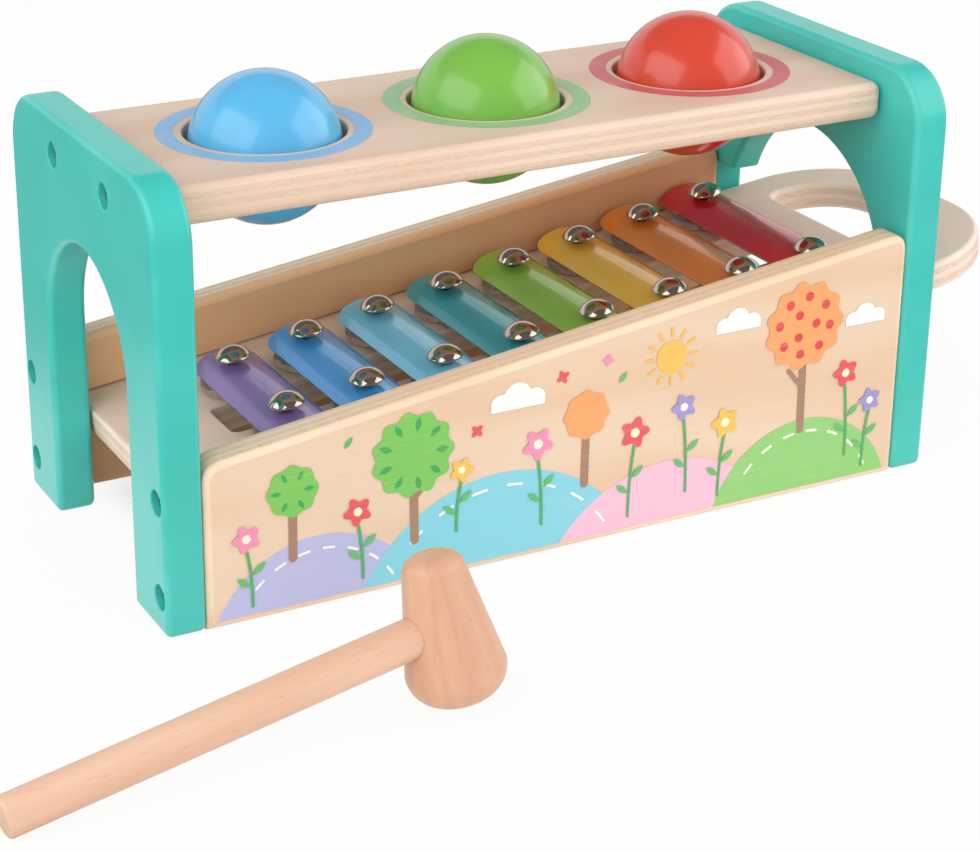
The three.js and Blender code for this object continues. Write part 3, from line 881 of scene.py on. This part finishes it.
sizes = ("First", "Pitch", "Count", "Short Span", "Long Span", "Height")
kinds = {"Piece": "Object", **{size: "Int" if size == "Count" else "Float" for size in sizes}}
two_rows, knob = new_rule("two_rows", kinds)
index = Wire(two_rows.nodes.new("GeometryNodeInputIndex").outputs[0])
bar = (index / 2).maths("FLOOR")
row = index.maths("MODULO", 2) * 2 - 1
span = knob["Short Span"] + (knob["Long Span"] - knob["Short Span"]) * bar / (knob["Count"] - 1)
spots = {"X": knob["First"] + knob["Pitch"] * bar, "Y": row * span / 2, "Z": knob["Height"]}
points = index.node(
    "GeometryNodePoints",
    {},
    {"Count": knob["Count"] * 2, "Position": index.node("ShaderNodeCombineXYZ", {}, spots)},
)
copy = index.node("GeometryNodeObjectInfo", {}, {"Object": knob["Piece"]}, "Geometry")
end_rule(knob, index.node("GeometryNodeInstanceOnPoints", {}, {"Points": points, "Instance": copy}))

tray_place = on_slope @ Matrix.Translation((0, 0, -tray_thickness))
tray_ply = plywood("tray_ply", tray_place, tray_thickness, "fae2d1", "f1d2bd", plies=5, offset=300)
corner_x, corner_y = tray_right - handle_corner, tray_half - handle_corner
tray_outline = [
    (tray_left, tray_half),
    (tray_left, -tray_half),
    *arc(corner_x, -corner_y, handle_corner, -90, 0, 24),
    *arc(corner_x, corner_y, handle_corner, 0, 90, 24),
]
window = [
    *arc(window_left + window_corner, window_corner - left_half, window_corner, 270, 180, 5),
    *arc(window_left + window_corner, left_half - window_corner, window_corner, 180, 90, 5),
    *arc(window_right - window_corner, right_half - window_corner, window_corner, 90, 0, 5),
    *arc(window_right - window_corner, window_corner - right_half, window_corner, 0, -90, 5),
]
grasp = [
    *arc(grasp_left + grasp_tight, grasp_tight - grasp_half, grasp_tight, 270, 180, 8),
    *arc(grasp_left + grasp_tight, grasp_half - grasp_tight, grasp_tight, 180, 90, 8),
    *arc(grasp_right - grasp_wide, grasp_half - grasp_wide, grasp_wide, 90, 0, 16),
    *arc(grasp_right - grasp_wide, grasp_wide - grasp_half, grasp_wide, 0, -90, 16),
]
tray = piece(
    "tray",
    plate([(tray_outline, tray_edge), (window, window_edge), (grasp, tray_edge)], tray_thickness),
    set_down @ tray_place,
)
pilot_profile = [(0, -pilot_depth), (pilot_radius, -pilot_depth), (pilot_radius, pilot_top), (0, pilot_top)]
pilot = piece("pilot", turned(pilot_profile, 16))
carve(tray, [rows_of("pilots", pilot, 0, tray_ply)])
dress(tray, tray_ply)
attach(tray, "tray")
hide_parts("tray")


# Washers: clear soft plastic discs, one under each end of a bar, that keep it off the wood so that
# it rings.
washer_radius, washer_hole, washer_thickness, washer_edge = 11, 1.95, 2.5, 0.5
washer_seat = 0.3
clear_plastic, spot = new_finish("clear_plastic")
lay_on(
    clear_plastic,
    base_color=spot.noise((0.15, 0.15, 0.15)).tint(colour("eceae9"), colour("f5f3f3")),
    roughness=0.12,
    transmission_weight=0.85,
    ior=1.35,
)
washer_profile = [
    (washer_hole, 0),
    *arc(washer_radius - washer_edge, washer_edge, washer_edge, -90, 0, 4),
    *arc(washer_radius - washer_edge, washer_thickness - washer_edge, washer_edge, 0, 90, 4),
    (washer_hole, washer_thickness),
    (washer_hole, 0),
]
bar_names = ("purple", "blue", "light_blue", "teal", "green", "yellow", "orange", "red")
bar_nodes = [f"{name}_{row}" for name in bar_names for row in ("rear", "front")]
washers = rows_of("washers", piece("washer", turned(washer_profile, 48)), washer_seat, clear_plastic)
dress(washers, clear_plastic)
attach(washers, "tray")
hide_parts(*(f"washer_{node}" for node in bar_nodes))


# Tone bars: eight strips of sheet steel, punched with rounded corners and two holes, pressed into an
# arch and enamelled, from the short one at the left to the long one at the right.
short_bar, long_bar = 62, 91
bar_inside, bar_outside, bar_half_angle = 14.792, 16.392, math.radians(38.7)
bar_corner, bar_edge, bar_hole, bar_hole_edge = 5, 0.35, 2.3, 0.3
bar_seat = 3.1
side_cuts, cuts_to_corner = 10, 7.5
enamels = {
    "purple": "9178bc",
    "blue": "4aa9f2",
    "light_blue": "7fd3f3",
    "teal": "35a5b0",
    "green": "95c843",
    "yellow": "f8c142",
    "orange": "ed8b34",
    "red": "d42335",
}

pressed, knob = new_rule("pressed", {"Inside": "Float", "Outside": "Float", "Drop": "Float"})
flat = Wire(pressed.nodes.new("GeometryNodeInputPosition").outputs[0])
flat_x, flat_y, flat_z = (flat.node("ShaderNodeSeparateXYZ", {}, {0: flat}, axis) for axis in "XYZ")
angle = flat_x / knob["Outside"]
reach = flat_z + knob["Inside"]
curved = {"X": angle.maths("SINE") * reach, "Y": flat_y, "Z": angle.maths("COSINE") * reach - knob["Drop"]}
arched = flat.node(
    "GeometryNodeSetPosition",
    {},
    {"Geometry": knob["Geometry"], "Position": flat.node("ShaderNodeCombineXYZ", {}, curved)},
)
end_rule(knob, arched)

for i, name in enumerate(bar_names):
    enamel, spot = new_finish(f"{name}_enamel", on_slope)
    flow = spot.noise((0.12, 0.05, 0.12), 2)
    specks = spot.noise((1.3, 1.3, 1.3), 2)
    rim = spot.node("ShaderNodeAttribute", {"attribute_name": "rim"}, {}, "Fac")
    pooled = (flow.ramp(0.3, 0.7) * 0.07).tint(colour(enamels[name]), colour("46423f"))
    lay_on(
        enamel,
        base_color=(rim * specks.ramp(0.45, 0.7) * 0.5).tint(pooled, colour("cfc9c2")),
        metallic=0.25,
        roughness=0.22 + 0.05 * specks,
        coat_weight=0.7,
        coat_roughness=0.03,
        normal=flow.bump(0.012),
    )
    part = i / (bar_count - 1)
    length = short_bar + (long_bar - short_bar) * part
    span = short_span + (long_span - short_span) * part
    half_width, half_length = bar_outside * bar_half_angle - bar_corner, length / 2 - bar_corner
    blank_outline = [
        *arc(half_width, -half_length, bar_corner, -90, 0, 10),
        *arc(half_width, half_length, bar_corner, 0, 90, 10),
        *arc(-half_width, half_length, bar_corner, 90, 180, 10),
        *arc(-half_width, -half_length, bar_corner, 180, 270, 10),
    ]
    holes = [(arc(0, y, bar_hole, 360, 0, 24)[:-1], bar_hole_edge) for y in (-span / 2, span / 2)]
    blank = plate([(blank_outline, bar_edge), *holes], bar_outside - bar_inside, 3)
    for k in range(-side_cuts, side_cuts + 1):
        bmesh.ops.bisect_plane(
            blank,
            geom=[*blank.verts, *blank.edges, *blank.faces],
            plane_co=(k * half_width / cuts_to_corner, 0, 0),
            plane_no=(1, 0, 0),
        )
    tone_bar = piece(f"tone_bar_{name}", blank)
    press = {"Inside": bar_inside, "Outside": bar_outside, "Drop": bar_inside * math.cos(bar_half_angle)}
    run_rule(tone_bar, pressed, {**press, "Finish": enamel})
    bar_place = on_slope @ Matrix.Translation((first_bar + i * bar_pitch, 0, bar_seat))
    tone_bar.data.transform(set_down @ bar_place)
    dress(tone_bar, enamel)
    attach(tone_bar, "tray")
    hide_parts(f"bar_{name}")


# Bar screws: chromed dome heads over the two holes of each bar, screwed down into the tray until they
# stand a little clear of the bar.
dome_radius, dome_height, dome_lip, dome_round = 5.5, 3.5, 0.5, 0.2
dome_seat, bar_shank, bar_bite = 9.548, 1.7, 7
chrome, spot = new_finish("chrome")
lay_on(
    chrome,
    base_color=spot.noise((0.3, 0.3, 0.3)).tint(colour("c4b4a7"), colour("d4c6bb")),
    metallic=1.0,
    roughness=0.07,
)
dome_rise = dome_height - dome_lip
dome_sphere = (dome_radius**2 + dome_rise**2) / (2 * dome_rise)
dome_angle = math.degrees(math.asin(dome_radius / dome_sphere))
dome_profile = [
    (0, -dome_seat - bar_bite),
    (bar_shank, -dome_seat - bar_bite),
    (bar_shank, 0),
    *arc(dome_radius - dome_round, dome_round, dome_round, -90, 0, 3),
    *arc(0, dome_height - dome_sphere, dome_sphere, 90 - dome_angle, 90, 14)[:-1],
    (0, dome_height),
]
bar_screws = rows_of("bar_screws", piece("dome", turned(dome_profile, 48)), dome_seat, chrome)
dress(bar_screws, chrome)
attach(bar_screws, "tray")
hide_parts(*(f"bar_screw_{node}" for node in bar_nodes))


# Mallet: a turned beech head, wider at one end, on a dowel glued into a hole across it. It lies in
# front of the bench, rolled a little on the rounded rim of its head, with its handle's end down.
mallet_spot = (-71.83, -122.98, 1.347)
mallet_turn, mallet_lean, mallet_roll = math.radians(184.75), 0.13421, math.radians(11.14)
mallet_place = (
    Matrix.Translation(mallet_spot)
    @ Matrix.Rotation(mallet_turn, 4, "Z")
    @ Matrix.Rotation(mallet_lean, 4, "Y")
    @ Matrix.Rotation(mallet_roll, 4, "X")
)
head_wide, head_narrow, head_length = 13.7, 8.57, 40.84
head_wide_edge, head_narrow_edge = 9, 4.6
handle_height, handle_radius, handle_length, handle_edge = 21.37, 5.5, 125.74, 1.2
handle_start, socket_gap = -4.75, 0.1


def beech(name, place, pale, deep):
    """A satin beech finish with its grain along X, and short flecks in it."""
    material, spot = new_finish(name, place)
    rings = (spot.noise((0.006, 0.09, 0.09), 2) * 7).maths("PINGPONG", 1)
    fibres = spot.noise((0.03, 1.2, 1.2), 3)
    flecks = spot.noise((0.22, 2.2, 2.2), 1).ramp(0.64, 0.78)
    wood = (rings * 0.45 + fibres * 0.55 - 0.05).tint(colour(pale), colour(deep))
    lay_on(
        material,
        base_color=(flecks * 0.4).tint(wood, colour("c08a63")),
        roughness=0.4 + 0.1 * fibres,
        coat_weight=0.3,
        coat_roughness=0.22,
        normal=(fibres - flecks).bump(0.01),
    )
    return material


along_head = mallet_place @ Matrix.Rotation(-math.pi / 2, 4, "Y")
handle_seat = mallet_place @ Matrix.Translation((0, 0, handle_height))
across_head = handle_seat @ Matrix.Rotation(math.pi / 2, 4, "Y")
head_beech = beech("head_beech", along_head, "dfae8e", "d09a77")
handle_beech = beech("handle_beech", mallet_place, "e9c1a7", "dcaa8b")
head_top = head_length - head_narrow_edge
head_profile = [
    (0, 0),
    *arc(head_wide - head_wide_edge, head_wide_edge, head_wide_edge, -90, 0, 10),
    *arc(head_narrow - head_narrow_edge, head_top, head_narrow_edge, 0, 90, 10),
    (0, head_length),
]
socket_radius, socket_mouth = handle_radius + socket_gap, 2 * head_wide
socket_profile = [
    (0, handle_start),
    (socket_radius, handle_start),
    (socket_radius, socket_mouth),
    (0, socket_mouth),
]
handle_profile = [
    (0, handle_start),
    (handle_radius, handle_start),
    *arc(handle_radius - handle_edge, handle_length - handle_edge, handle_edge, 0, 90, 6),
    (0, handle_length),
]
mallet_head = piece("mallet_head", turned(head_profile, 96), set_down @ mallet_place)
carve(mallet_head, [piece("socket", turned(socket_profile, 64), set_down @ across_head)])
mallet_handle = piece("mallet_handle", turned(handle_profile, 64), set_down @ across_head)
for made, wood, node in ((mallet_head, head_beech, "head"), (mallet_handle, handle_beech, "handle")):
    dress(made, wood)
    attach(made, "mallet")
    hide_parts(f"mallet_{node}")


# Floor and light: a white table that keeps a soft shadow, a white backdrop behind the bench under a
# dim ceiling, a broad lamp on each side and a soft one in front that no gloss mirrors.
floor_half, floor_drop = 4000, 0.2
lit_reach, dim_reach, dim_share = 150, 280, 0.75
shade_across, shade_deep = 40, 25
white_share = 0.93
backdrop_top, backdrop_blur = 0.5, 0.02
backwards = (0.46, 0.89, 0)
aim_height = 60
white_table, spot = new_finish("white_table")
table_tree = white_table.node_tree
room = bpy.data.worlds.new("room")
room.use_nodes = True
scene.world = room


def ray_kinds(tree):
    """1 for what the camera sees, straight or through a clear piece, and 1 for what it sees mirrored."""
    path = tree.nodes.new("ShaderNodeLightPath").outputs
    straight, mirrored, through = (
        Wire(path[f"Is {kind} Ray"]) for kind in ("Camera", "Glossy", "Transmission")
    )
    return straight.maths("MAXIMUM", through), mirrored


floor_mesh = bmesh.new()
bmesh.ops.create_grid(floor_mesh, size=floor_half)
floor = piece("floor", floor_mesh, set_down @ Matrix.Translation((0, 0, -floor_drop)))
plain, mirrored = ray_kinds(table_tree)
away = spot.node("ShaderNodeVectorMath", {"operation": "LENGTH"}, {0: spot}, "Value")
lay_on(white_table, base_color=colour("f2f0ee"), roughness=0.6)
matt = Wire(table_tree.nodes["Principled BSDF"].outputs[0])
# A painted pool of light: gloss mirrors the table glowing white near the bench and dim farther out.
dimmed = away.ramp(lit_reach, dim_reach) * mirrored
glow = spot.node("ShaderNodeEmission", {}, {"Color": (1, 1, 1, 1), "Strength": 1 - dimmed * dim_share})
# Under the bench the table stays matt, so that it lies in shade there.
from_middle = [
    spot.node("ShaderNodeSeparateXYZ", {}, {0: spot}, axis).maths("ABSOLUTE") for axis in "XY"
]
under = from_middle[0].ramp(side, side - shade_across)
under = under * from_middle[1].ramp(half_depth, half_depth - shade_deep)
cover = plain.maths("MAXIMUM", mirrored) * white_share + dimmed * (1 - white_share)
cover = cover * (1 - under)
mixed = spot.node("ShaderNodeMixShader", {}, {0: cover, 1: matt, 2: glow})
table_tree.links.new(mixed.socket, table_tree.nodes["Material Output"].inputs["Surface"])
floor.data.materials.append(white_table)

sky = room.node_tree.nodes["Background"]
sky.inputs["Color"].default_value = (1, 1, 1, 1)
plain, mirrored = ray_kinds(room.node_tree)
outlook = Wire(room.node_tree.nodes.new("ShaderNodeTexCoord").outputs["Generated"])
climb = outlook.node("ShaderNodeSeparateXYZ", {}, {0: outlook}, "Z")
facing = {0: outlook, 1: backwards}
behind = outlook.node("ShaderNodeVectorMath", {"operation": "DOT_PRODUCT"}, facing, "Value")
backdrop = behind.ramp(-0.1, 0.3) * climb.ramp(backdrop_top + backdrop_blur, backdrop_top - backdrop_blur)
strength = 0.65 + plain * 0.35 + mirrored * (backdrop * 0.65 - 0.5)
room.node_tree.links.new(strength.socket, sky.inputs["Strength"])

for name, place, width, height, power in (
    ("left_lamp", (-1030, -185, 765), 1.6, 0.95, 8.0),
    ("right_lamp", (950, -465, 670), 1.4, 1.0, 6.5),
    ("front_lamp", (-500, -1300, 500), 2.0, 1.4, 6.5),
):
    lamp = bpy.data.objects.new(name, bpy.data.lights.new(name, "AREA"))
    lamp.data.shape = "RECTANGLE"
    lamp.data.size, lamp.data.size_y = width, height
    lamp.data.energy = power
    lamp.visible_glossy = name != "front_lamp"
    lamp.location = set_down @ Vector(place)
    aim = set_down @ Vector((0, 0, aim_height)) - lamp.location
    lamp.rotation_euler = aim.to_track_quat("-Z", "Y").to_euler()
    scene.collection.objects.link(lamp)
